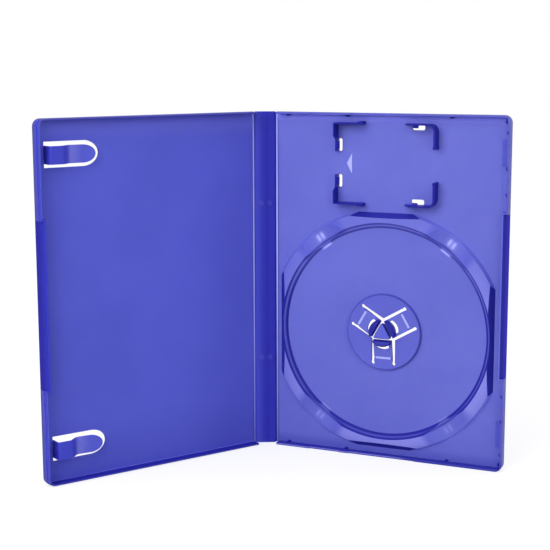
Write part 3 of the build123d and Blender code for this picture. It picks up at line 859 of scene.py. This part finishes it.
def strip_tree(material):
    """A low strip with rounded edges, drawn along its length."""
    tree, bench, given = node_tree("Bending strip", ("Length", "Width", "Height", "Round"))
    half = given["Length"] / 2
    ends = {"Start": bench.vector(Y=0 - half), "End": bench.vector(Y=half)}
    run = bench.add("GeometryNodeCurvePrimitiveLine", None, ends)["Curve"]
    sides = {"Width": given["Width"], "Height": given["Height"]}
    block = bench.add("GeometryNodeCurvePrimitiveQuadrilateral", None, sides)["Curve"]
    corners = {"Curve": block, "Count": STRIP_EDGE_STEPS, "Radius": given["Round"]}
    section = bench.add("GeometryNodeFilletCurve", {"mode": "POLY"}, corners)["Curve"]
    sweep = {"Curve": run, "Profile Curve": section, "Fill Caps": True}
    close_tree(bench, bench.add("GeometryNodeCurveToMesh", None, sweep)["Mesh"], material)
    return tree


def mark_tree(material):
    """Two rows of round marks, two to a row."""
    tree, bench, given = node_tree("Mould marks", ("Radius", "Rise", "Gap", "Drop"))
    round_mark = {"Vertices": MARK_CORNERS, "Radius": given["Radius"], "Depth": given["Rise"] * 2}
    disc = bench.add("GeometryNodeMeshCylinder", {"fill_type": "NGON"}, round_mark)["Mesh"]
    rows = {"Size X": given["Gap"], "Size Y": given["Drop"], "Vertices X": 2, "Vertices Y": 2}
    places = bench.add("GeometryNodeMeshGrid", None, rows)["Mesh"]
    copies = {"Points": places, "Instance": disc}
    close_tree(bench, bench.add("GeometryNodeInstanceOnPoints", None, copies)["Instances"], material)
    return tree


# Steps


class CASE_OT_leaves(bpy.types.Operator):
    """Gives the tray, the spine and the cover their satin plastic"""

    bl_idname = "disc_case.leaves"
    bl_label = "Finish the leaves"

    def execute(self, context):
        colours = context.scene.case_colours
        leaves = (
            ("back_tray", "tray_plastic", tray_leaf, colours.tray, tray_layers),
            ("spine", "spine_plastic", spine_leaf, colours.spine, spine_layers),
            ("front_cover", "cover_plastic", cover_leaf, colours.cover, cover_layers),
        )
        for node, name, leaf_of, thin, layers in leaves:
            finish_node(node, moulded_plastic(name, leaf_of, thin, layers))
        return {"FINISHED"}


class CASE_OT_clips(bpy.types.Operator):
    """Gives the two booklet clips their plastic"""

    bl_idname = "disc_case.clips"
    bl_label = "Finish the booklet clips"

    def execute(self, context):
        thin = context.scene.case_colours.cover
        plastic = moulded_plastic("clip_plastic", cover_leaf, thin, clip_layers)
        finish_node("booklet_clip_upper", plastic)
        finish_node("booklet_clip_lower", plastic)
        return {"FINISHED"}


class CASE_OT_hub(bpy.types.Operator):
    """Gives the hub's arms and its button their plastic, and adds the pale strips where the arms bend"""

    bl_idname = "disc_case.hub"
    bl_label = "Finish the hub"

    def execute(self, context):
        colours = context.scene.case_colours
        sizes = context.scene.case_sizes
        thin = Vector(colours.tray).lerp(Vector(colours.cover), BUTTON_SHADE)
        finish_node("hub_button", moulded_plastic("button_plastic", tray_leaf, thin, button_layers))
        arm_plastic = moulded_plastic("arm_plastic", tray_leaf, colours.tray, arm_layers)
        tree = strip_tree(thin_web("arm_strip"))
        lengths = {
            "Length": sizes.strip_length,
            "Width": sizes.strip_width,
            "Height": sizes.strip_height,
            "Round": sizes.strip_round,
        }
        for side, root in ARMS.items():
            finish_node(f"hub_arm_{side}", arm_plastic)
            strip = grow(f"arm_strip_{side}", tree, lengths, False)
            outward = Vector((root.x - HUB.x, 0.0, root.z - HUB.z)).normalized()
            across = outward.cross(inward(0.0))
            seat = root + inward(0.0) * (HALF_WEB + STRIP_LIFT + sizes.strip_height / 2)
            stand_on(strip, seat, outward, across)
            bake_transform(strip)
        return {"FINISHED"}


class CASE_OT_hinge_webs(bpy.types.Operator):
    """Adds the thin bent web along each hinge line"""

    bl_idname = "disc_case.hinge_webs"
    bl_label = "Add the hinge webs"

    def execute(self, context):
        sizes = context.scene.case_sizes
        tree = web_tree(thin_web("bent_web"))
        on_spine = turned(TRAY_FOLD)
        on_cover = turned(TRAY_FOLD + COVER_FOLD)
        hinges = (
            ("hinge_web_tray_side", "tray", "spine", TRAY_LINE, -turned(0.0), on_spine),
            ("hinge_web_cover_side", "spine", "cover", COVER_LINE, -on_spine, on_cover),
        )
        for name, first, second, line, near, far in hinges:
            lengths = {
                "Near X": near.x * sizes.web_reach,
                "Near Y": near.y * sizes.web_reach,
                "Far X": far.x * sizes.web_reach,
                "Far Y": far.y * sizes.web_reach,
                "Height": CASE_HEIGHT - 2 * WEB_END_GAP,
            }
            web = grow(name, tree, lengths, True)
            web.data.transform(Matrix.Translation((line.x, line.y, WEB_END_GAP)))
            solid_sheet(web, sizes.web_thickness)
            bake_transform(web)
        return {"FINISHED"}


class CASE_OT_arrow(bpy.types.Operator):
    """Adds the plain arrow mark in the card holder"""

    bl_idname = "disc_case.arrow"
    bl_label = "Add the arrow mark"

    def execute(self, context):
        sizes = context.scene.case_sizes
        shape = bmesh.new()
        half = sizes.arrow_width / 2
        corners = [(0.0, 0.0), (sizes.arrow_length, half), (sizes.arrow_length, -half)]
        base = [shape.verts.new((x, y, 0.0)) for x, y in corners]
        face = shape.faces.new(base)
        made = bmesh.ops.extrude_face_region(shape, geom=[face])
        lifted = [item for item in made["geom"] if isinstance(item, bmesh.types.BMVert)]
        bmesh.ops.translate(shape, verts=lifted, vec=(0.0, 0.0, sizes.arrow_rise * 2))
        bmesh.ops.recalc_face_normals(shape, faces=shape.faces)
        mesh = bpy.data.meshes.new("holder_arrow")
        shape.to_mesh(mesh)
        shape.free()
        arrow = bpy.data.objects.new("holder_arrow", mesh)
        context.scene.collection.objects.link(arrow)
        mesh.materials.append(thin_web("arrow_mark"))
        sunk = TRAY_HIGH.y - PANEL + sizes.arrow_rise
        tip = Vector((TRAY_LINE.x + sizes.arrow_across, sunk, sizes.arrow_up))
        stand_on(arrow, tip, -turned(0.0), UP)
        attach(arrow, "tray")
        return {"FINISHED"}


class CASE_OT_mould_marks(bpy.types.Operator):
    """Adds the faint round marks of the mould on the spine"""

    bl_idname = "disc_case.mould_marks"
    bl_label = "Add the mould marks"

    def execute(self, context):
        sizes = context.scene.case_sizes
        colours = context.scene.case_colours
        thin = Vector(colours.spine).lerp(Vector(colours.cover), MARK_SHADE)
        material = moulded_plastic("mould_mark", spine_leaf, thin, spine_layers)
        lengths = {
            "Radius": sizes.mark_radius,
            "Rise": sizes.mark_rise,
            "Gap": sizes.mark_gap,
            "Drop": sizes.mark_drop,
        }
        marks = grow("spine_mould_marks", mark_tree(material), lengths, False)
        middle = (TRAY_LINE + COVER_LINE) / 2 + inward(TRAY_FOLD) * (PANEL - HALF_WEB)
        middle.z = sizes.mark_up
        stand_on(marks, middle, -turned(TRAY_FOLD), UP)
        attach(marks, "spine")
        return {"FINISHED"}


class CASE_OT_stage(bpy.types.Operator):
    """Sets up the floor, the soft light and the camera"""

    bl_idname = "disc_case.stage"
    bl_label = "Set the stage"

    def execute(self, context):
        scene = context.scene
        settings = scene.case_stage
        scene.view_settings.view_transform = "Standard"
        self.light_world(scene, settings)
        self.lay_floor(scene, settings)
        self.hang_lamps(scene, settings)
        self.place_camera(scene, settings)
        return {"FINISHED"}

    def light_world(self, scene, settings):
        """Even light from all round, which looks white."""
        world = bpy.data.worlds.new("studio")
        world.use_nodes = True
        world.node_tree.nodes.clear()
        scene.world = world
        bench = Bench(world.node_tree)
        light = bench.add("ShaderNodeBackground", None, {"Color": WHITE, "Strength": settings.sky_level})
        white = bench.add("ShaderNodeBackground", None, {"Color": WHITE, "Strength": 1.0})
        mix = {0: bench.looked_at(), 1: light["Background"], 2: white["Background"]}
        shown = bench.add("ShaderNodeMixShader", None, mix)["Shader"]
        bench.add("ShaderNodeOutputWorld", None, {"Surface": shown})

    def lay_floor(self, scene, settings):
        """A pale floor that looks white and keeps the shadow of the case."""
        mesh = bpy.data.meshes.new("floor")
        shape = bmesh.new()
        bmesh.ops.create_grid(shape, x_segments=1, y_segments=1, size=FLOOR_HALF_SIZE)
        shape.to_mesh(mesh)
        shape.free()
        floor = bpy.data.objects.new("floor", mesh)
        floor.location.z = -FLOOR_DROP
        scene.collection.objects.link(floor)
        material, bench = new_material("pale_floor")
        level = settings.floor_level
        glow = 1.0 - level * settings.sky_level
        matt = bench.add("ShaderNodeBsdfDiffuse", None, {"Color": (level, level, level, 1)})["BSDF"]
        light = bench.add("ShaderNodeEmission", None, {"Color": WHITE, "Strength": glow})["Emission"]
        white = bench.add("ShaderNodeAddShader", None, {0: matt, 1: light})["Shader"]
        mix = {0: bench.looked_at(), 1: matt, 2: white}
        shown = bench.add("ShaderNodeMixShader", None, mix)["Shader"]
        bench.add("ShaderNodeOutputMaterial", None, {"Surface": shown})
        mesh.materials.append(material)
        floor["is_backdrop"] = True

    def hang_lamps(self, scene, settings):
        """A large soft light in front and a weaker one on the right."""
        fill_power = settings.key_power * settings.fill_share
        lamps = (
            ("key", settings.key_place, settings.key_size, settings.key_power),
            ("fill", settings.fill_place, settings.fill_size, fill_power),
        )
        for name, place, size, power in lamps:
            lamp = bpy.data.lights.new(name, "AREA")
            lamp.size = size
            lamp.energy = power
            light = bpy.data.objects.new(name, lamp)
            light.location = place
            light.rotation_mode = "QUATERNION"
            aim = Vector(settings.lamp_target) - Vector(place)
            light.rotation_quaternion = aim.to_track_quat("-Z", "Y")
            scene.collection.objects.link(light)

    def place_camera(self, scene, settings):
        """The camera at the photograph's viewing angle."""
        lens = bpy.data.cameras.new("photo_camera")
        lens.sensor_width = SENSOR_MM
        lens.lens = SENSOR_MM * settings.focal_pixels / PHOTO_PIXELS
        lens.clip_start = NEAREST_SEEN
        camera = bpy.data.objects.new("photo_camera", lens)
        yaw, pitch, roll = -settings.camera_yaw, settings.camera_pitch, settings.camera_roll
        ahead = Vector((sin(yaw) * cos(pitch), cos(yaw) * cos(pitch), -sin(pitch)))
        level = Vector((cos(yaw), -sin(yaw), 0.0))
        down = ahead.cross(level)
        right = level * cos(roll) + down * sin(roll)
        up = right.cross(ahead)
        turn = Matrix((right, up, -ahead)).transposed().to_4x4()
        camera.matrix_world = Matrix.Translation(settings.camera_place) @ turn
        scene.collection.objects.link(camera)
        scene.camera = camera


class CASE_PT_sidebar(bpy.types.Panel):
    """Steps that dress the disc case"""

    bl_idname = "CASE_PT_sidebar"
    bl_label = "Disc case"
    bl_space_type = "VIEW_3D"
    bl_region_type = "UI"
    bl_category = "Disc Case"

    def draw(self, context):
        for step in STEPS:
            self.layout.operator(step.bl_idname)
        for group in GROUPS:
            settings = getattr(context.scene, group)
            box = self.layout.box()
            for name in settings.__annotations__:
                box.prop(settings, name)


GROUPS = {"case_sizes": CaseSizes, "case_colours": CaseColours, "case_stage": CaseStage}
STEPS = (
    CASE_OT_leaves,
    CASE_OT_clips,
    CASE_OT_hub,
    CASE_OT_hinge_webs,
    CASE_OT_arrow,
    CASE_OT_mould_marks,
    CASE_OT_stage,
)


def register():
    for kind in (*GROUPS.values(), *STEPS, CASE_PT_sidebar):
        bpy.utils.register_class(kind)
    for name, group in GROUPS.items():
        setattr(bpy.types.Scene, name, bpy.props.PointerProperty(type=group))


def unregister():
    for name in GROUPS:
        delattr(bpy.types.Scene, name)
    for kind in reversed((*GROUPS.values(), *STEPS, CASE_PT_sidebar)):
        bpy.utils.unregister_class(kind)


def main():
    register()
    bpy.ops.disc_case.leaves()
    bpy.ops.disc_case.clips()
    bpy.ops.disc_case.hub()
    bpy.ops.disc_case.hinge_webs()
    bpy.ops.disc_case.arrow()
    bpy.ops.disc_case.mould_marks()
    bpy.ops.disc_case.stage()
    boxes = {"cad": CAD_BOX, "visual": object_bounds()}
    {name: [list(corner) for corner in box] for name, box in boxes.items()}


if __name__ == "__main__":
    main()
